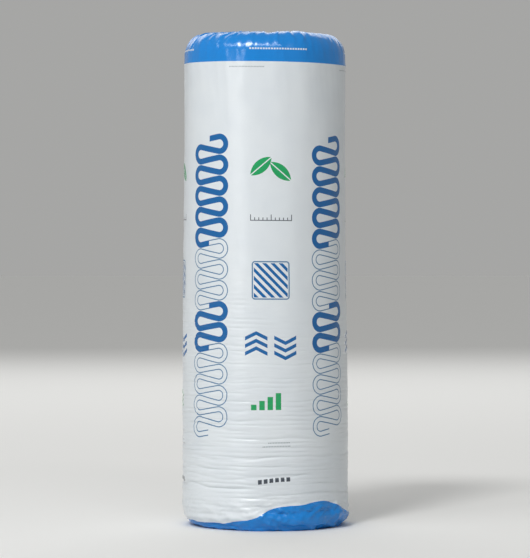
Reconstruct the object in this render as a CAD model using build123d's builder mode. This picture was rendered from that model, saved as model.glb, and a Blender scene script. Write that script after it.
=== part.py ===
from build123d import *
import os
from math import cos, degrees, radians, sin

os.makedirs("parts", exist_ok=True)

# The packed roll, in millimetres, standing on its end with its axis on Z
roll_length = 1200
roll_diameter = 400
shoulder_width = 45
shoulder_height = 55

# The film sleeve, where one skin stands for its thin plies and the air between them
film_thickness = 1.0
film_gap = 0.3
lip_width = 30
hem_build_up = 2.0
pleat_count = 24
pleat_width = 7
pleat_land = 3
lap_width = 90
lap_step = 0.8
lap_angle = 45

# The wool blanket, rolled up tight with a small eye at its middle
eye_diameter = 30
turn_pitch = 16
seam_width = 3
seam_depth = 6

# A cutter reaches this far past the face that it opens
past_face = 1

# Places worked out from the sizes above
half_length = roll_length / 2
roll_radius = roll_diameter / 2
lip_radius = roll_radius - shoulder_width
mouth_radius = lip_radius - lip_width
hem_thickness = film_thickness + hem_build_up
eye_radius = eye_diameter / 2
middle = Plane.XY.offset(half_length)


def inner_line(rim, inset):
    """Lower half of a line inside the film, whose hidden shoulder is two plain flats."""
    knee_x = lip_radius + (shoulder_width - inset) * sin(radians(45))
    knee_y = shoulder_height - (shoulder_height - inset) * cos(radians(45))
    with BuildLine() as line:
        Polyline(
            rim,
            (lip_radius, inset),
            (knee_x, knee_y),
            (roll_radius - inset, shoulder_height),
            (roll_radius - inset, half_length),
        )
    return line.line


# A pleat of the hem is a groove, widest and deepest at the mouth, that dies out in the lip
with BuildPart() as pleat:
    with BuildSketch(Plane.YZ.offset(mouth_radius - past_face)):
        Polygon(
            (-pleat_width / 2, -past_face),
            (pleat_width / 2, -past_face),
            (0, hem_build_up),
            align=None,
        )
    pleat_end = Vertex(lip_radius - pleat_land, 0, -past_face)
    loft([pleat.pending_faces[0], pleat_end])

# Film sleeve: drawn over the shoulders, its hem gathered into pleats round each mouth
with BuildPart() as film_wrap:
    with BuildSketch(Plane.XZ):
        with BuildLine():
            lip = Line((mouth_radius, 0), (lip_radius, 0))
            shoulder = EllipticalCenterArc(
                (lip_radius, shoulder_height),
                shoulder_width,
                shoulder_height,
                start_angle=270,
                arc_size=90,
            )
            side = Line(shoulder @ 1, (roll_radius, half_length))
            inner = inner_line((mouth_radius, hem_thickness), film_thickness)
            add(inner)
            Line(lip @ 0, inner @ 0)
            Line(side @ 1, inner @ 1)
        make_face()
    revolve(axis=Axis.Z)
    with PolarLocations(0, pleat_count, start_angle=180 / pleat_count):
        add(pleat.part, mode=Mode.SUBTRACT)

    # The sheet's free edge laps over its start along the back and is sealed down
    lap_sweep = degrees(lap_width / roll_radius)
    with BuildSketch(Plane.XZ.rotated((0, 0, lap_angle - lap_sweep / 2))):
        with Locations((roll_radius, shoulder_height)):
            Rectangle(lap_step, half_length - shoulder_height, align=Align.MIN)
    revolve(axis=Axis.Z, revolution_arc=lap_sweep)
    mirror(about=middle)

film_wrap.part.label = "film_wrap"
export_step(film_wrap.part, "parts/film_wrap.step")

# The seam between two turns shows on the end as a spiral of half-turns, each half a pitch
# wider than the one before, that runs from the eye to under the hem
seam_reach = mouth_radius + lip_width / 2
turn_count = int((seam_reach - eye_radius) / turn_pitch)
with BuildPart() as seam:
    for turn in range(turn_count):
        turn_radius = eye_radius + turn * turn_pitch
        for shift, sweep in ((0, 180), (turn_pitch / 2, -180)):
            with BuildSketch(Plane.XZ):
                with Locations((turn_radius + 2 * shift, 0)):
                    Polygon(
                        (-seam_width / 2, -past_face),
                        (seam_width / 2, -past_face),
                        (0, seam_depth),
                        align=None,
                    )
            revolve(axis=Axis((shift, 0, 0), (0, 0, 1)), revolution_arc=sweep)

# Wool blanket: one turned solid that fills the film and stands flush in both mouths
with BuildPart() as wool_roll:
    with BuildSketch(Plane.XZ) as wool_section:
        with BuildLine():
            rim_radius = mouth_radius - film_gap
            wool_line = inner_line(
                (rim_radius, hem_thickness + film_gap), film_thickness + film_gap
            )
            add(wool_line)
            Polyline(
                wool_line @ 0,
                (rim_radius, 0),
                (eye_radius, 0),
                (eye_radius, half_length),
                wool_line @ 1,
            )
        make_face()
        end_rim = wool_section.vertices().group_by(Axis.Y)[0].sort_by(Axis.X)[-1]
        chamfer(end_rim, hem_build_up)
    revolve(axis=Axis.Z)
    add(seam.part, mode=Mode.SUBTRACT)
    mirror(about=middle)

wool_roll.part.label = "wool_roll"
export_step(wool_roll.part, "parts/wool_roll.step")
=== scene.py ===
from math import atan2, cos, hypot, pi, radians, sin, sqrt

import bpy
import numpy as np
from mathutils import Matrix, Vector


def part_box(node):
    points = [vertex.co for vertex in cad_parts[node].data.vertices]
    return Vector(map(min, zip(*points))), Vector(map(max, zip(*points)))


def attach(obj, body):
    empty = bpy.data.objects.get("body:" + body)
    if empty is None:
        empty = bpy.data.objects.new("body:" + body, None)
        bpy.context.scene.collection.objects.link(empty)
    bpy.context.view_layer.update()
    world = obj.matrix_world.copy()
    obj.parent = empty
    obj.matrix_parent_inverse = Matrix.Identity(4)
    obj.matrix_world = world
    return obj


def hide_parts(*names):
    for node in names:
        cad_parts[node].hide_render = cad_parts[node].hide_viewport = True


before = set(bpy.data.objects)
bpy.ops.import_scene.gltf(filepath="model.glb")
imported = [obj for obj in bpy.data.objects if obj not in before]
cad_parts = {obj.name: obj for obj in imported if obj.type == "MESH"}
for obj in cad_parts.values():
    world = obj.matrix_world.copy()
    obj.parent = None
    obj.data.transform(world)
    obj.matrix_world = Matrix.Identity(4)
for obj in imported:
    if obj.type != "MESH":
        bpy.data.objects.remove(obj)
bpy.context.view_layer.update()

# Sizes in metres: the box gives the first two, and the rest are the solids' own
MM = 0.001
film_low, film_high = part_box("film_wrap")
roll_length = film_high.z - film_low.z
roll_radius = (film_high.x - film_low.x) / 2
shoulder_width = 45 * MM
shoulder_height = 55 * MM
lip_width = 30 * MM
lap_width = 90 * MM
lap_middle = radians(135)
eye_radius = 15 * MM
turn_pitch = 16 * MM
lip_radius = roll_radius - shoulder_width
mouth_radius = lip_radius - lip_width
girth = 2 * pi * roll_radius

# Film, inks and wool, as sRGB hex values
FILM_WHITE = "#E0E5E8"
FILM_SHADE = "#D3DAE0"
BAND_BLUE = "#0080D2"
PRINT_BLUE = "#005E9E"
LINE_BLUE = "#40739A"
MARK_GREY = "#3E4650"
FAINT_GREY = "#9AA3AA"
LEAF_GREEN = "#129C5A"
WOOL_TAN = "#C2A570"
WOOL_PALE = "#E8D5AC"
WOOL_BROWN = "#9C7844"
# Painted shade for the wool's deep seams, torn pits and eye
WOOL_PAINTED_SHADE = "#6A4E2C"


# Small tools

def linear(hex_colour):
    """The linear RGBA value of an sRGB hex colour."""
    parts = [int(hex_colour[i:i + 2], 16) / 255 for i in (1, 3, 5)]
    return [c / 12.92 if c <= 0.04045 else ((c + 0.055) / 1.055) ** 2.4 for c in parts] + [1]


def node(tree, kind, inputs=(), **settings):
    """Adds a node with its settings. Inputs are values, nodes or sockets, in order or by name."""
    made = tree.nodes.new("ShaderNode" + kind)
    for name, value in settings.items():
        setattr(made, name, value)
    for key, source in inputs.items() if isinstance(inputs, dict) else enumerate(inputs):
        if isinstance(source, bpy.types.Node):
            source = next(s for s in source.outputs if s.enabled)
        if isinstance(source, bpy.types.NodeSocket):
            tree.links.new(source, made.inputs[key])
        elif source is not None:
            made.inputs[key].default_value = source
    return made


def new_finish(name):
    """An empty material and its node tree."""
    finish = bpy.data.materials.new(name)
    finish.use_nodes = True
    finish.node_tree.nodes.clear()
    return finish, finish.node_tree


def fade(x):
    """Smooth step from 0 to 1, flat at both ends."""
    x = np.clip(x, 0, 1)
    return x * x * x * (x * (x * 6 - 15) + 10)


def ripple(x, y, seed, wrap=256):
    """Smooth noise from about -1 to 1 at x and y, counted in cells. It repeats in x after wrap cells."""
    rows = 256
    lean = np.random.default_rng(seed).uniform(-1, 1, (2, rows, wrap))
    column, row = np.floor(x).astype(int), np.floor(y).astype(int)
    x, y = x - column, y - row
    total = 0
    for right in (0, 1):
        for up in (0, 1):
            slope = lean[:, (row + up) % rows, (column + right) % wrap]
            near = (fade(x) if right else 1 - fade(x)) * (fade(y) if up else 1 - fade(y))
            total = total + near * (slope[0] * (x - right) + slope[1] * (y - up))
    return total * 1.7


def crease(noise, width):
    """Turns smooth noise into thin ridges of height 1 where it crosses zero."""
    return np.clip(1 - np.abs(noise) / width, 0, 1) ** 1.5


def ring_faces(first, rows, columns, closed=False):
    """Quads of a grid whose rows run round the roll, from the index of its first point."""
    row = np.arange(rows if closed else rows - 1)[:, None] * columns
    column = np.arange(columns)[None, :]
    beside = (column + 1) % columns
    above = (row + columns) % (rows * columns)
    quads = np.stack([row + column, row + beside, above + beside, above + column], -1)
    return (first + quads.reshape(-1, 4)).tolist()


def ring_join(fine, fine_count, coarse, coarse_count):
    """Triangles from a ring of many points up to a ring of fewer, each from its first point."""
    share = fine_count // coarse_count
    faces = []
    for k in range(coarse_count):
        near, beside = coarse + k, coarse + (k + 1) % coarse_count
        for i in range(share):
            a = fine + share * k + i
            b = fine + (share * k + i + 1) % fine_count
            faces.append([a, b, near if 2 * i < share else beside])
        faces.append([fine + share * k + (share + 1) // 2, beside, near])
    return faces


def flipped(faces):
    """The same faces seen from behind."""
    return [face[::-1] for face in faces]


def add_piece(name, points, faces, finish, replaced=None):
    """Makes a smooth mesh piece with its material that rides with the roll."""
    mesh = bpy.data.meshes.new(name)
    mesh.from_pydata(points.tolist(), [], faces)
    mesh.materials.append(finish)
    mesh.shade_smooth()
    piece = bpy.data.objects.new(name, mesh)
    bpy.context.scene.collection.objects.link(piece)
    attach(piece, "root")
    if replaced:
        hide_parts(replaced)
    return piece


def add_map(piece, name, across, along):
    """Gives each face corner of a piece its place on the film or in the winding, in metres."""
    layer = piece.data.uv_layers.new(name=name)
    layer.uv.foreach_set("vector", np.stack([across, along], -1).ravel())


# Printed film: white polyethylene, blown, printed and drawn tight

print_pitch = 324 * MM
band_height = 78 * MM
wave_period = 50
# The lap lies at the back, and the print is set so that a column of motifs faces the front
lap_start = lap_middle - lap_width / roll_radius / 2
front_place = (-lap_start / (2 * pi) % 1) * girth
motif_shift = (front_place + 14 * MM) / MM
ribbon_shift = motif_shift + print_pitch / MM / 2


def print_place(tree, shift):
    """Millimetres from the middle of a print repeat that is shifted round the roll, and up the film."""
    film = node(tree, "UVMap", uv_map="film")
    mm = node(tree, "VectorMath", {"Vector": film, "Scale": 1 / MM}, operation="SCALE")
    xyz = node(tree, "SeparateXYZ", (mm,))
    pitch = print_pitch / MM
    moved = node(tree, "Math", (xyz.outputs[0], shift - pitch / 2), operation="SUBTRACT")
    turned = node(tree, "Math", (moved, pitch), operation="FLOORED_MODULO")
    return node(tree, "Math", (turned, pitch / 2), operation="SUBTRACT"), xyz.outputs[1]


def between(tree, value, low, high):
    """1 where a value lies between two limits, else 0."""
    return node(tree, "Math", (value, (low + high) / 2, (high - low) / 2), operation="COMPARE")


def both(tree, *masks):
    """Where all the masks overlap."""
    total = masks[0]
    for mask in masks[1:]:
        total = node(tree, "Math", (total, mask), operation="MULTIPLY")
    return total


def either(tree, *masks):
    """Where any of the masks is."""
    total = masks[0]
    for mask in masks[1:]:
        total = node(tree, "Math", (total, mask), operation="MAXIMUM")
    return total


def spot(tree, across, up, x, y, turn=0):
    """Vector from a motif's centre, turned by an angle in degrees."""
    point = node(tree, "CombineXYZ", (across, up))
    off = node(tree, "VectorMath", (point, (x, y, 0)), operation="SUBTRACT")
    settings = {"Vector": off, "Angle": radians(turn)}
    return node(tree, "VectorRotate", settings, rotation_type="Z_AXIS")


def batt_wave(tree, across, up):
    """Distance from the line of a looped wave, the drafting sign for a layer of wool, and its lift."""
    bulb_x, bulb = 31, 17.5
    # The wave's left half is its right half moved up by half a period
    side = node(tree, "Math", (across, 0), operation="LESS_THAN")
    lifted = node(tree, "Math", (side, wave_period / 2, up), operation="MULTIPLY_ADD")
    turned = node(tree, "Math", (lifted, wave_period), operation="FLOORED_MODULO")
    from_middle = node(tree, "Math", (turned, wave_period / 2), operation="SUBTRACT")
    x, y = (node(tree, "Math", (value,), operation="ABSOLUTE") for value in (across, from_middle))
    point = node(tree, "CombineXYZ", (x, y))
    # The straight neck leaves the middle at a quarter period and meets the bulb at a tangent
    neck = wave_period / 4
    tangent = sqrt(hypot(bulb_x, neck) ** 2 - bulb ** 2)
    angle = atan2(bulb, tangent) - atan2(neck, bulb_x)
    from_neck = node(tree, "VectorMath", (point, (0, neck, 0)), operation="SUBTRACT")
    run = node(tree, "VectorMath", (from_neck, (cos(angle), sin(angle), 0)), operation="DOT_PRODUCT")
    off_neck = node(tree, "VectorMath", (from_neck, (-sin(angle), cos(angle), 0)), operation="DOT_PRODUCT")
    off_bulb = node(tree, "VectorMath", (point, (bulb_x, 0, 0)), operation="DISTANCE")
    off_round = node(tree, "Math", (off_bulb, bulb), operation="SUBTRACT")
    past = node(tree, "Math", (run, tangent), operation="GREATER_THAN")
    off = node(tree, "Mix", {0: past, 2: off_neck, 3: off_round}, data_type="FLOAT")
    return node(tree, "Math", (off,), operation="ABSOLUTE"), lifted


def wave_ribbon(tree):
    """Masks of the solid blue stretches of the wave and of its outlined stretches, which take turns."""
    across, up = print_place(tree, ribbon_shift)
    off, lifted = batt_wave(tree, across, up)
    near = between(tree, across, -60, 60)
    stroke, outline = 7, 2.4
    # Each stretch ends where the line crosses the middle, after a whole number of periods
    ends = [wave_period * count for count in (5, 9, 11, 14, 19)]
    stretches = [between(tree, lifted, low, high) for low, high in zip(ends, ends[1:])]
    edge = between(tree, off, stroke - outline, stroke)
    line = both(tree, edge, near, either(tree, *stretches[0::2]))
    solid = both(tree, between(tree, off, 0, stroke), near, either(tree, *stretches[1::2]))
    return solid, line


def leaf(tree, across, up, x, y, turn):
    """A pointed leaf with a bare rib down its middle."""
    long, wide, rib = 34, 15, 1.3
    curve = (long ** 2 + wide ** 2) / (2 * wide)
    place = node(tree, "SeparateXYZ", (spot(tree, across, up, x, y, turn),))
    beside = node(tree, "Math", (place.outputs[1],), operation="ABSOLUTE")
    from_centre = node(tree, "Math", (beside, curve - wide), operation="ADD")
    point = node(tree, "CombineXYZ", (place.outputs[0], from_centre))
    off = node(tree, "VectorMath", (point,), operation="LENGTH")
    return both(tree, between(tree, off, 0, curve), between(tree, beside, rib, wide))


def hatched_box(tree, across, up, y):
    """Masks of a rounded frame and of the slanted hatching that ends a little inside it."""
    half, corner, thick, gap = 46, 8, 3, 2
    pitch, stroke = 20, 10
    off = node(tree, "VectorMath", (spot(tree, across, up, 0, y),), operation="ABSOLUTE")
    inner = node(tree, "VectorMath", (off, (half - corner,) * 3), operation="SUBTRACT")
    outside = node(tree, "VectorMath", (inner, (0, 0, 0)), operation="MAXIMUM")
    size = node(tree, "VectorMath", (outside,), operation="LENGTH")
    slanted = node(tree, "Math", (across, up), operation="ADD")
    stripe = node(tree, "Math", (slanted, pitch), operation="FLOORED_MODULO")
    inside = between(tree, size, 0, corner - thick - gap)
    hatching = both(tree, between(tree, stripe, 0, stroke), inside)
    return between(tree, size, corner - thick, corner), hatching


def layer_stack(tree, across, up, x, y, slope):
    """Three bent stripes over each other, with their tips up or, where the slope is below 0, down."""
    half, pitch, stroke = 27, 18, 9
    place = node(tree, "SeparateXYZ", (spot(tree, across, up, x, y),))
    beside = node(tree, "Math", (place.outputs[0],), operation="ABSOLUTE")
    bent = node(tree, "Math", (beside, slope, place.outputs[1]), operation="MULTIPLY_ADD")
    stripe = node(tree, "Math", (bent, pitch), operation="FLOORED_MODULO")
    inside = both(tree, between(tree, beside, -1, half), between(tree, bent, -pitch, pitch + stroke))
    return both(tree, inside, between(tree, stripe, 0, stroke))


def tick_rule(tree, across, up, y):
    """A plain scale of ticks on a line, with every fifth tick longer."""
    half, thick = 50, 2
    ticks = [between(tree, up, y, y + thick)]
    for spacing, height in ((10, 8), (50, 15)):
        place = node(tree, "Math", (across, spacing), operation="FLOORED_MODULO")
        ticks.append(both(tree, between(tree, place, 0, thick), between(tree, up, y, y + height)))
    return both(tree, either(tree, *ticks), between(tree, across, -half, half + thick))


def patch_row(tree, across, up, x, y, count, size, growth=0):
    """A row of small square ink patches, or of bars that grow one after the other."""
    step = size * 1.5
    moved = node(tree, "Math", (across, x - count * step / 2), operation="SUBTRACT")
    place = node(tree, "Math", (moved, step), operation="FLOORED_MODULO")
    number = node(tree, "Math", (moved, step), operation="DIVIDE")
    number = node(tree, "Math", (number,), operation="FLOOR")
    top = node(tree, "Math", (number, growth, y + size), operation="MULTIPLY_ADD")
    over = node(tree, "Math", (up, y), operation="GREATER_THAN")
    under = node(tree, "Math", (up, top), operation="LESS_THAN")
    return both(tree, between(tree, place, 0, size), over, under, between(tree, moved, 0, count * step))


def printed_film():
    """White polyethylene film, softly glossy because it is blown and not polished, with thin flat inks."""
    finish, tree = new_finish("printed_film")
    # Places and sizes are in millimetres, from the middle of a repeat and up the film
    across, up = print_place(tree, motif_shift)
    wave_solid, wave_line = wave_ribbon(tree)
    box_line, hatching = hatched_box(tree, across, up, 600)
    leaves = either(tree, leaf(tree, across, up, -24, 872, -40), leaf(tree, across, up, 24, 860, 40))
    rising = layer_stack(tree, across, up, -35, 452, 0.5)
    falling = layer_stack(tree, across, up, 35, 428, -0.5)
    rule = tick_rule(tree, across, up, 742)
    dark_marks = patch_row(tree, across, up, 10, 128, 6, 9)
    green_marks = patch_row(tree, across, up, -8, 292, 4, 13, growth=9)
    fine_rows = ((-60, 1108, 24), (20, 214, 14), (14, 206, 18))
    fine_marks = [patch_row(tree, across, up, *row, 2.5) for row in fine_rows]
    # Both ends have a blue band, and the top one a row of bare dashes
    from_top = node(tree, "Math", (roll_length / MM, up), operation="SUBTRACT")
    from_end = node(tree, "Math", (up, from_top), operation="MINIMUM")
    dashes = patch_row(tree, across, from_top, 20, 44, 22, 4.5)
    stripe = between(tree, from_end, -70, band_height / MM)
    band = node(tree, "Math", (stripe, dashes), operation="SUBTRACT")

    # The inks let a little of the white through, in soft blotches
    film = node(tree, "UVMap", uv_map="film")
    cloud = node(tree, "TexNoise", {"Vector": film, "Scale": 1 / (90 * MM), "Detail": 3.0})
    cover = node(tree, "MapRange", (cloud, 0.0, 1.0, 1.0, 0.98))
    colour = node(tree, "Mix", {0: cloud, 6: linear(FILM_WHITE), 7: linear(FILM_SHADE)}, data_type="RGBA")
    for ink, masks in (
        (BAND_BLUE, (band,)),
        (PRINT_BLUE, (wave_solid, hatching, rising, falling)),
        (LINE_BLUE, (wave_line, box_line)),
        (MARK_GREY, (rule, dark_marks)),
        (FAINT_GREY, fine_marks),
        (LEAF_GREEN, (leaves, green_marks)),
    ):
        share = node(tree, "Math", (either(tree, *masks), cover), operation="MULTIPLY")
        colour = node(tree, "Mix", {0: share, 6: colour, 7: linear(ink)}, data_type="RGBA")

    # Fine creases lie across the side, deepest low down, run in to the mouths, and are crumpled at the foot
    creases = []
    for width, height in ((110, 8), (13, 90), (26, 14)):
        scales = (1000 / width, 1000 / height, 1)
        stretched = node(tree, "VectorMath", (film, scales), operation="MULTIPLY")
        settings = {"Vector": stretched, "Scale": 1.0, "Detail": 2.0, "Distortion": 0.3}
        creases.append(node(tree, "TexNoise", settings))
    level = node(tree, "SeparateXYZ", (node(tree, "TexCoord").outputs["Object"],)).outputs[2]
    from_above = node(tree, "Math", (roll_length, level), operation="SUBTRACT")
    near_end = node(tree, "Math", (level, from_above), operation="MINIMUM")
    shallower = node(tree, "MapRange", (up, 150.0, 650.0, 1.0, 0.12))
    relief = node(tree, "Math", (creases[0], shallower), operation="MULTIPLY")
    for zone, start, end, kind, gain in ((level, 60, 110, 2, 3.0), (near_end, 0, 30, 1, 1.0)):
        share = node(tree, "MapRange", (zone, start * MM, end * MM, 1.0, 0.0))
        deeper = node(tree, "Math", (creases[kind], gain), operation="MULTIPLY")
        relief = node(tree, "Mix", {0: share, 2: relief, 3: deeper}, data_type="FLOAT")
    bump = node(tree, "Bump", {"Strength": 0.7, "Distance": 1.6 * MM, "Height": relief})
    # Ink lies smoother than the bare film
    inked = either(tree, band, wave_solid, hatching, rising, falling, leaves, green_marks)
    gloss = node(tree, "Math", (inked, -0.08, 0.28), operation="MULTIPLY_ADD")
    shader = node(tree, "BsdfPrincipled", {
        "Base Color": colour,
        "Roughness": gloss,
        "IOR": 1.51,
        "Normal": bump,
    })
    node(tree, "OutputMaterial", (shader,))
    return finish


# Film shape: drawn over both shoulders and gathered round each mouth

side_columns = 180
end_reach = 118 * MM
gather_reach = 130 * MM
pleat_count = 34
pleat_depth = 5.5 * MM
gather_twist = radians(7)
# Angles in degrees, from the front towards the right, of what isn't the same all round
creased_side = -75
slack_sides = (32, 180)
raised_sides = (35, 180)


def film_outline(steps):
    """The film's line from mouth to mouth in steps: its length, radius, height and outward normal."""
    t = np.linspace(0, pi / 2, 60)
    shoulder_r = lip_radius + shoulder_width * np.sin(t)
    shoulder_z = shoulder_height * (1 - np.cos(t))
    r = np.concatenate([[mouth_radius], shoulder_r, shoulder_r[::-1], [mouth_radius]])
    z = np.concatenate([[0], shoulder_z, roll_length - shoulder_z[::-1], [roll_length]])
    s = np.concatenate([[0], np.cumsum(np.hypot(np.diff(r), np.diff(z)))])
    places, sizes = zip(*steps)
    rows = [0]
    while rows[-1] < s[-1]:
        rows.append(rows[-1] + np.interp(rows[-1] / s[-1], places, sizes) * MM)
    rows = np.array(rows) * s[-1] / rows[-1]
    r, z = np.interp(rows, s, r), np.interp(rows, s, z)
    dr, dz = np.gradient(r, rows), np.gradient(z, rows)
    size = np.hypot(dr, dz)
    return [v[:, None] for v in (rows, r, z, dz / size, -dr / size)]


def mouth_line(angle):
    """How far the ragged edge of the hem stands out from the mouth's even radius."""
    turn = angle / (2 * pi)
    slow, quick, small = (ripple(turn * count, 0 * turn, 42, count) for count in (9, 34, 80))
    return (8 * slow + 4 * quick + 2 * small) * MM


def roll_body(turn, z):
    """How far the soft roll stands out from its even size: fuller low down, drawn in at the top."""
    height = z / roll_length
    settle = 2.5 * (1 - height) ** 2 - 5.0 * height ** 2
    lobes = 2.0 * ripple(turn * 4, z / (420 * MM), 11, 4) + 1.8 * ripple(turn * 13, z / (600 * MM), 12, 13)
    dents = 0.8 * ripple(turn * 26, z / (50 * MM), 13, 26)
    return (settle + lobes + dents) * MM


def side_weight(angle, middle):
    """1 on the side of the roll that an angle in degrees gives, and 0 opposite to it."""
    return 0.5 + 0.5 * np.cos(angle - radians(middle))


def film_wrinkles(turn, s, z):
    """Creases across the roll: deep ones low down, most on the left, and finer ones up to the middle."""
    angle = lap_start + 2 * pi * turn
    height = z / roll_length
    side = 0.35 + 0.65 * side_weight(angle, creased_side)
    # Faint lines of pull run down from the gathered top
    pull = crease(ripple(turn * 44 + z / (250 * MM), z / (400 * MM), 25, 44), 0.5)
    relief = (0.35 + 0.9 * fade((height - 0.78) / 0.2)) * pull
    for spacing, depth, head, seed in ((23, 4.0, 0.38, 21), (11, 2.4, 0.72, 31)):
        drift = 0.5 * ripple(turn * 6, s / (120 * MM), seed, 6)
        drift = drift + 0.2 * ripple(turn * 19, s / (40 * MM), seed + 1, 19)
        fold = s / (spacing * MM) + drift
        # Each fold fades in and out along its own run
        held = np.clip(0.45 + 1.5 * ripple(turn * 9, fold + 0.5, seed + 2, 9), 0, 1)
        line = (1 - np.abs(np.sin(pi * fold))) ** 2
        relief = relief - depth * fade((head - height) / (0.8 * head)) * held * line * side
    fine = crease(ripple(turn * 24, s / (9 * MM), 24, 24), 0.45) * fade(1.5 - 2 * height)
    return (relief + 0.5 * fine * side) * MM


def loose_foot(turn, s, z):
    """The slack film that bulges in folds just above the floor, most at the front right."""
    angle = lap_start + 2 * pi * turn
    front, back = (side_weight(angle, middle) for middle in slack_sides)
    slack = 0.15 + 0.85 * front ** 3 + 0.4 * back ** 3
    slack = slack * fade((92 * MM - z) / (50 * MM)) * fade((s - 34 * MM) / (24 * MM))
    # It sags into a roll whose upper side catches the light
    ledge = (24 + 16 * front + 9 * ripple(turn * 15, 0 * turn, 28, 15)) * MM
    sagged = fade((ledge + 10 * MM - z) / (15 * MM))
    folds = crease(ripple(turn * 20 + s / (45 * MM), s / (38 * MM), 26, 20), 0.5)
    small = crease(ripple(turn * 40 - s / (30 * MM), s / (20 * MM), 27, 40), 0.4)
    return slack * (9.0 * sagged + 5.0 * folds + 3.2 * small) * MM


def end_pleats(turn, s, end_distance, seed):
    """Depth of the film below the crests of its pleats, which lap over one way round each mouth."""
    draw = np.random.default_rng(seed)
    crest = np.zeros(np.broadcast(turn, s).shape)
    wobble = 0.25 * ripple(turn * 20, s / (28 * MM), seed + 1, 20) / pleat_count
    for k in range(pleat_count):
        place = (k + draw.uniform(-0.35, 0.35)) / pleat_count
        width = draw.uniform(0.6, 1.3) / pleat_count
        grown = np.clip(1 - end_distance / draw.uniform(60 * MM, gather_reach), 0, 1)
        lean = draw.normal(0, 0.5) / pleat_count * (1 - grown)
        off = (turn - place - lean - wobble + 0.5) % 1 - 0.5
        before, after = np.clip(1 + off / width, 0, 1), np.clip(1 - off / (0.1 * width), 0, 1)
        rise = np.where(off < 0, before ** 1.6, after)
        crest = np.maximum(crest, draw.uniform(0.65, 1) * grown * rise)
    gathered = np.clip(1 - end_distance / gather_reach, 0, 1)
    fine = crease(ripple(turn * 80, s / (45 * MM), seed + 2, 80), 0.5)
    return pleat_depth * (gathered - crest) + 0.9 * MM * gathered * fine, gathered


def film_skin(turn, outline, inside=False):
    """Places the film's points, as its outer skin or as the plain inside behind it."""
    s, r, z, normal_r, normal_z = outline
    length = s[-1, 0]
    end_distance = np.minimum(s, length - s)
    low_pleats, gathered = end_pleats(turn, s, end_distance, 31)
    top_pleats = end_pleats(turn, s, end_distance, 35)[0]
    # The roll's weight presses the low pleats flatter, most at the edge where it stands
    pressed = 0.3 + 0.7 * fade((44 * MM - s) / (16 * MM))
    pleats = np.where(s < length / 2, pressed * low_pleats, top_pleats)
    out = roll_body(turn, z + 0 * turn) * (1 - gathered ** 3)
    if inside:
        out = out - 2.0 * MM - pleat_depth * gathered - 2.0 * MM * (1 - gathered)
    else:
        on_side = fade((end_distance - 90 * MM) / (60 * MM))
        lap_step = np.where(turn < lap_width / girth, 0.7, 0.0)
        seal = np.exp(-((turn * girth - 9 * MM) / (3 * MM)) ** 2)
        seal = seal * crease(ripple(turn * 8, s / (4 * MM), 41, 8), 0.6)
        # No wrinkle stays in the film that the roll stands on
        wrinkled = fade((s - 8 * MM) / (36 * MM)) * film_wrinkles(turn, s, z)
        out = out + wrinkled - pleats + loose_foot(turn, s, z)
        out = out + (lap_step + 0.6 * seal) * on_side * MM
    angle = lap_start + 2 * pi * turn
    twist = gather_twist * gathered ** 2
    twist = twist + radians(1.2) * gathered * ripple(turn * 14, s / (50 * MM), 44, 14)
    lip = np.clip(1 - end_distance / lip_width, 0, 1)
    r = r + out * normal_r + lip * mouth_line(angle + gather_twist)
    z = np.clip(z + out * normal_z, 0, roll_length)
    return np.stack([r * np.sin(angle + twist), -r * np.cos(angle + twist), z], -1)


def film_print_place(turn, outline):
    """Metres up the film, where the low band sags out of sight but for its raised front and back."""
    s, _, z, _, _ = outline
    shoulder_length = (s[-1] - roll_length + 2 * shoulder_height) / 2
    up = s - (shoulder_length - shoulder_height)
    angle = lap_start + 2 * pi * turn
    front, back = (side_weight(angle, middle) for middle in raised_sides)
    edge = (5 + 64 * front ** 5 + 48 * back ** 3 + 9 * ripple(turn * 17, 0 * turn, 51, 17)) * MM
    sag = (band_height - edge) * np.exp((edge - z) / (80 * MM))
    tilt = 3 * MM * np.sin(angle) * z / roll_length
    return up + sag + tilt


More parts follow.
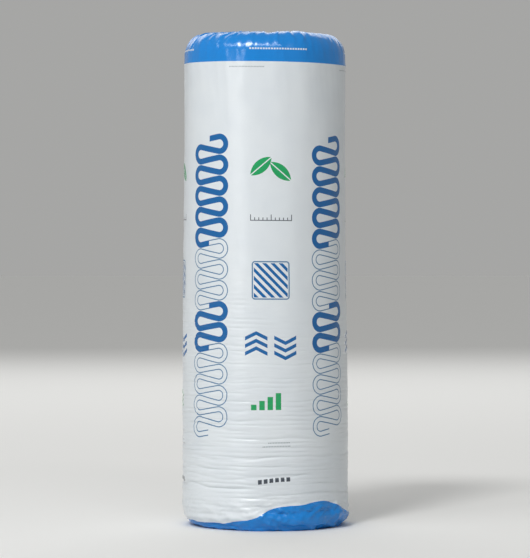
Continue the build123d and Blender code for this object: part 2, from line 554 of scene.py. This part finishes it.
def make_film():
    """The film sleeve as one closed skin: fine at both ends, coarser on the side, plain inside."""
    lap_edge = 1.2 * MM / girth
    even = np.linspace(0, 1, side_columns - 1)[1:-1]
    coarse = np.concatenate([[0, lap_edge], even, [1 - lap_edge]])
    fine = np.stack([coarse, (coarse + np.append(coarse[1:], 1)) / 2], -1).ravel()
    # Rows lie this many millimetres apart at these shares of the film's length
    steps = [(0, 2.8), (0.09, 2.8), (0.1, 2), (0.42, 2), (0.55, 5), (0.9, 6.5), (0.92, 2.8), (1, 2.8)]
    outline = film_outline(steps)
    s = outline[0][:, 0]
    skin = film_skin(fine[None, :], outline)
    up = film_print_place(fine[None, :], outline)
    low = int(np.sum(s < end_reach))
    top = int(np.sum(s < s[-1] - end_reach))
    inner_turn = coarse[None, ::2]
    inner_outline = film_outline([(0, 8), (0.08, 8), (0.12, 40), (0.88, 40), (0.92, 8), (1, 8)])
    inner = film_skin(inner_turn, inner_outline, inside=True)

    zones = [skin[:low], skin[low:top, ::2], skin[top:], inner]
    starts = np.concatenate([[0], np.cumsum([zone.shape[0] * zone.shape[1] for zone in zones])])
    faces = []
    for zone, start in zip(zones, starts):
        quads = ring_faces(int(start), zone.shape[0], zone.shape[1])
        faces += flipped(quads) if zone is inner else quads
    many, some, few = len(fine), len(coarse), inner.shape[1]
    last_fine, first_top, last_top = (int(i) for i in (starts[1] - many, starts[2], starts[3] - many))
    faces += ring_join(last_fine, many, int(starts[1]), some)
    faces += flipped(ring_join(first_top, many, int(starts[2]) - some, some))
    faces += flipped(ring_join(0, many, int(starts[3]), few))
    faces += ring_join(last_top, many, int(starts[4]) - few, few)
    points = np.concatenate([zone.reshape(-1, 3) for zone in zones])
    film = add_piece("film_sleeve", points, faces, printed_film(), "film_wrap")

    # The film's back isn't printed, so its inside lies off the print
    fine_map = np.broadcast_to(fine, skin.shape[:2]) * girth
    inner_map = inner_turn * girth + 0 * inner[:, :, 0]
    around = [fine_map[:low], fine_map[low:top, ::2], fine_map[top:], inner_map]
    along = [up[:low], up[low:top, ::2], up[top:], 0 * inner_map - 1]
    corners = np.array([corner for face in faces for corner in face])
    counts = np.array([len(face) for face in faces])
    around = np.concatenate([zone.ravel() for zone in around])[corners]
    along = np.concatenate([zone.ravel() for zone in along])[corners]
    # A face across the lap's edge ends at the full girth instead of running back to 0
    furthest = np.maximum.reduceat(around, np.cumsum(counts) - counts)
    around[np.repeat(furthest, counts) - around > girth / 2] += girth
    add_map(film, "film", around, along)


# Glass wool: spun fibre held by a brown binder, laid in thin leaves and rolled up tight

wool_columns = 300
wool_step = 1.15 * MM
wool_reach = mouth_radius + 20 * MM


def glass_wool():
    """Matt fibrous wool: nothing shines, and its leaves show as pale and dark streaks along each turn."""
    finish, tree = new_finish("glass_wool")
    winding = node(tree, "UVMap", uv_map="winding")
    place = node(tree, "TexCoord").outputs["Object"]
    # Leaves about 3 mm thick, and fibres far coarser than real ones, as fine as a render can show
    streaks = []
    for length, thickness in ((45, 3.0), (9, 0.7)):
        scales = (1000 / length, 1000 / thickness, 1)
        stretched = node(tree, "VectorMath", (winding, scales), operation="MULTIPLY")
        settings = {"Vector": stretched, "Scale": 1.0, "Detail": 3.0, "Distortion": 0.2}
        streaks.append(node(tree, "TexNoise", settings))
    leaves, fibres = streaks
    clumps = node(tree, "TexNoise", {"Vector": place, "Scale": 1 / (22 * MM), "Detail": 4.0})
    # Shade is painted into the wool's colour: darker in its deep seams, torn pits and the eye
    painted_shade = node(tree, "Attribute", attribute_name="painted_shade").outputs["Fac"]
    colour = linear(WOOL_TAN)
    for source, start, end, most, tint in (
        (fibres, 0.35, 0.65, 1.0, WOOL_PALE),
        (leaves, 0.5, 0.72, 0.7, WOOL_BROWN),
        (clumps, 0.5, 0.75, 0.4, WOOL_BROWN),
        (painted_shade, 0.0, 1.0, 1.0, WOOL_PAINTED_SHADE),
    ):
        share = node(tree, "MapRange", (source, start, end, 0.0, most))
        colour = node(tree, "Mix", {0: share, 6: colour, 7: linear(tint)}, data_type="RGBA")
    height = node(tree, "Math", (leaves, 1.5, fibres), operation="MULTIPLY_ADD")
    bump = node(tree, "Bump", {"Strength": 1.0, "Distance": 1.0 * MM, "Height": height})
    shader = node(tree, "BsdfPrincipled", {
        "Base Color": colour,
        "Roughness": 0.95,
        "IOR": 1.5,
        "Specular IOR Level": 0.15,
        "Sheen Weight": 0.3,
        "Sheen Roughness": 0.6,
        "Normal": bump,
    })
    node(tree, "OutputMaterial", (shader,))
    return finish


def spiral_place(r, angle):
    """Place across the turns, counted in turns from the eye, and the turn's own part of it."""
    lap = (angle - pi / 2) / (2 * pi)
    round_roll = angle / (2 * pi)
    wander = 0.18 * ripple(round_roll * 7, r / (24 * MM), 61, 7)
    wander = wander + 0.06 * ripple(round_roll * 44, r / (9 * MM), 60, 44)
    wander = wander * fade((r - eye_radius) / (10 * MM))
    return (r - eye_radius) / turn_pitch - lap + wander, lap


def spiral_length(turns):
    """Metres along the wound blanket from its start at the eye."""
    return 2 * pi * (eye_radius * turns + turn_pitch * turns ** 2 / 2)


def end_relief(r, angle):
    """How deep the wool's end lies below flush, with its seams, leaves and torn pits, and the shade painted
    darker where it lies deeper.
    """
    across, lap = spiral_place(r, angle)
    layer = np.floor(across)
    within = across - layer
    along = spiral_length(layer + lap)
    from_seam = np.minimum(within, 1 - within)
    closed = np.clip(0.75 + 0.7 * ripple(along / (70 * MM), 0 * along, 62), 0.25, 1)
    seam = closed * np.clip(1 - from_seam / 0.13, 0, 1) ** 1.2
    crown = (1 - 2 * from_seam) ** 2
    leaves = crease(ripple(along / (42 * MM), within * 8, 63), 0.5)
    strata = ripple(along / (90 * MM), within * 5, 64)
    slip = ripple(along / (260 * MM), 0 * along, 65)
    pits = np.clip(ripple(along / (13 * MM), within * 4, 66) - 0.42, 0, 1)
    depth = 5 * seam + 1.2 * crown + 1.3 * leaves + 1.0 * strata + 1.5 * slip + 8 * pits + 6.5
    # The second value is painted shade, most in the seams and torn pits where the end lies deepest
    return np.maximum(depth, 4) * MM, np.clip(0.5 * seam + 0.2 * leaves + 1.0 * pits + 0.1 * crown, 0, 1)


def make_wool():
    """The blanket as one closed solid: both wound ends in relief, a plain side and the squeezed eye."""
    turn = (np.arange(wool_columns) / wool_columns)[None, :]
    angle = 2 * pi * turn
    reach = np.arange(eye_radius, wool_reach, wool_step)[:, None]
    squeeze = (3.2 * ripple(turn * 3, 0 * turn, 67, 3) + 1.2 * ripple(turn * 11, 0 * turn, 68, 11)) * MM
    r = reach + squeeze * np.clip(1 - (reach - eye_radius) / (12 * MM), 0, 1)
    relief, painted_shade = end_relief(r, angle + 0 * r)
    tucked = fade((r - mouth_radius - mouth_line(angle) + 6 * MM) / (9 * MM)) * 7 * MM
    round_eye = fade(1 - (r - eye_radius) / (7 * MM)) * 4 * MM
    nap = np.random.default_rng(70).normal(0, 0.5 * MM, relief.shape)
    depth = relief + tucked + round_eye + nap
    side_z = np.linspace(shoulder_height, roll_length - shoulder_height, 14)[:, None]
    side_r = roll_radius - 7.5 * MM + roll_body(turn, side_z + 0 * turn)
    eye_z = np.linspace(roll_length - 14 * MM, 14 * MM, 60)[:, None]
    eye_r = eye_radius + squeeze + ripple(turn * 8, eye_z / (30 * MM), 69, 8) * MM
    flat = np.zeros_like(turn)
    all_r = np.concatenate([r, side_r, r[::-1], eye_r])
    all_z = np.concatenate([depth, side_z + flat, roll_length - depth[::-1], eye_z + flat])
    # Painted shade: in the ends by their depth, half dark along the eye's wall, none on the side
    painted_shades = np.concatenate([painted_shade, 0 * side_r, painted_shade[::-1], 0.5 + 0 * eye_r])
    points = np.stack([all_r * np.sin(angle), -all_r * np.cos(angle), all_z], -1).reshape(-1, 3)
    faces = ring_faces(0, len(all_r), wool_columns, closed=True)
    wool = add_piece("wool_blanket", points, faces, glass_wool(), "wool_roll")
    # The painted shade is kept on the points for the wool's colour
    shade = wool.data.attributes.new("painted_shade", "FLOAT", "POINT")
    shade.data.foreach_set("value", painted_shades.ravel())

    # Each face keeps to the turn that its middle lies in, so the streaks stop at the seams
    next_row = np.roll(all_r, -1, 0)
    corner_r = np.stack([all_r, np.roll(all_r, -1, 1), np.roll(next_row, -1, 1), next_row], -1)
    step = 2 * pi / wool_columns
    corner_angle = angle[:, :, None] + np.array([0, step, step, 0])
    across, lap = spiral_place(corner_r, corner_angle)
    layer = np.floor(across.mean(-1, keepdims=True))
    add_map(wool, "winding", spiral_length(layer + lap).ravel(), ((across - layer) * turn_pitch).ravel())


def make_fibres():
    """Loose glass fibres that stand out of both ends, drawn many times as thick as they are."""
    draw = np.random.default_rng(71)
    count, joints, thick = 2400, 4, 0.2 * MM
    points, faces = [], []
    for inward in (1, -1):
        r = np.sqrt(draw.uniform((eye_radius + 2 * MM) ** 2, (mouth_radius - 8 * MM) ** 2, count))
        angle = draw.uniform(0, 2 * pi, count)
        depth = end_relief(r, angle)[0] + 0.8 * MM
        level = depth if inward == 1 else roll_length - depth
        for k in range(count):
            place = np.array([r[k] * sin(angle[k]), -r[k] * cos(angle[k]), level[k]])
            heading = angle[k] + draw.normal(0, 0.5)
            length = draw.uniform(5, 17) * MM
            lift = draw.uniform(0.05, 0.4) * -inward
            bend = draw.normal(0, 1)
            first = len(points)
            for t in np.linspace(0, 1, joints):
                way = heading + bend * t
                run = np.array([cos(way), sin(way), lift * (1 - 0.6 * t)])
                beside = np.array([-sin(way), cos(way), 0])
                for corner in (0, 2 * pi / 3, 4 * pi / 3):
                    ring = beside * cos(corner) + np.array([0, 0, sin(corner)])
                    points.append(place + run * length * t + ring * thick * (1 - 0.7 * t))
            for j in range(joints - 1):
                for i in range(3):
                    a, b = first + 3 * j + i, first + 3 * j + (i + 1) % 3
                    faces.append([a, b, b + 3, a + 3])
            last = first + 3 * (joints - 1)
            faces += [[first, first + 2, first + 1], [last, last + 1, last + 2]]
    points = np.array(points)
    points[:, 2] = np.clip(points[:, 2], 4 * MM, roll_length - 4 * MM)
    fibres = add_piece("wool_fibres", points, faces, bpy.data.materials["glass_wool"])
    corners = points[[corner for face in faces for corner in face]]
    add_map(fibres, "winding", corners[:, 0], corners[:, 1])


# Studio: a pale floor, soft light, and the camera far off, a little above the roll's middle

def aimed(name, data, place, target):
    """Adds a lamp or camera that looks at a point."""
    holder = bpy.data.objects.new(name, data)
    holder.location = place
    holder.rotation_euler = (Vector(target) - Vector(place)).to_track_quat("-Z", "Y").to_euler()
    bpy.context.scene.collection.objects.link(holder)
    return holder


def studio():
    """Makes the floor, the lamps, the background and the camera."""
    scene = bpy.context.scene
    scene.view_settings.view_transform = "Standard"
    middle = (0, 0, roll_length / 2)

    reach = 40
    mesh = bpy.data.meshes.new("floor")
    corners = [(-reach, -reach, 0), (reach, -reach, 0), (reach, reach, 0), (-reach, reach, 0)]
    mesh.from_pydata(corners, [], [(0, 1, 2, 3)])
    floor = bpy.data.objects.new("floor", mesh)
    scene.collection.objects.link(floor)
    finish, tree = new_finish("floor_paper")
    shader = node(tree, "BsdfPrincipled", {"Base Color": linear("#ECECEA"), "Roughness": 0.9})
    node(tree, "OutputMaterial", (shader,))
    mesh.materials.append(finish)

    sun = bpy.data.lights.new("high_light", "SUN")
    sun.energy = 1.15
    sun.angle = radians(12)
    aimed("high_light", sun, (-1.3, -2.9, 3.7), middle)
    for name, place, width, height, power in (
        ("soft_front", (-1.4, -3.6, 4.6), 8.4, 0.45, 120),
        ("soft_left", (-3.0, -3.8, 1.7), 1.2, 2.4, 30),
        ("soft_back", (-0.6, 7.0, 5.6), 10.0, 6.0, 260),
    ):
        lamp = bpy.data.lights.new(name, "AREA")
        lamp.energy = power
        lamp.shape = "RECTANGLE"
        lamp.size, lamp.size_y = width, height
        aimed(name, lamp, place, middle)

    world = bpy.data.worlds.new("studio")
    scene.world = world
    world.use_nodes = True
    tree = world.node_tree
    tree.nodes.clear()
    path = node(tree, "LightPath")
    shown = path.outputs["Is Camera Ray"]
    for ray in ("Is Glossy Ray", "Is Transmission Ray"):
        shown = node(tree, "Math", (shown, path.outputs[ray]), operation="MAXIMUM")
    strength = node(tree, "MapRange", (shown, 0.0, 1.0, 0.22, 0.43))
    light = node(tree, "Background", {"Color": linear("#F2F2F0"), "Strength": strength})
    node(tree, "OutputWorld", (light,))

    # The roll takes 490 of the picture's 558 rows
    distance, height = 7.3, 0.72
    picture_height = roll_length * 558 / 490
    camera = bpy.data.cameras.new("camera")
    camera.lens = camera.sensor_width / picture_height * distance
    scene.camera = aimed("camera", camera, (0, -distance, height), middle)


studio()
make_film()
make_wool()
make_fibres()
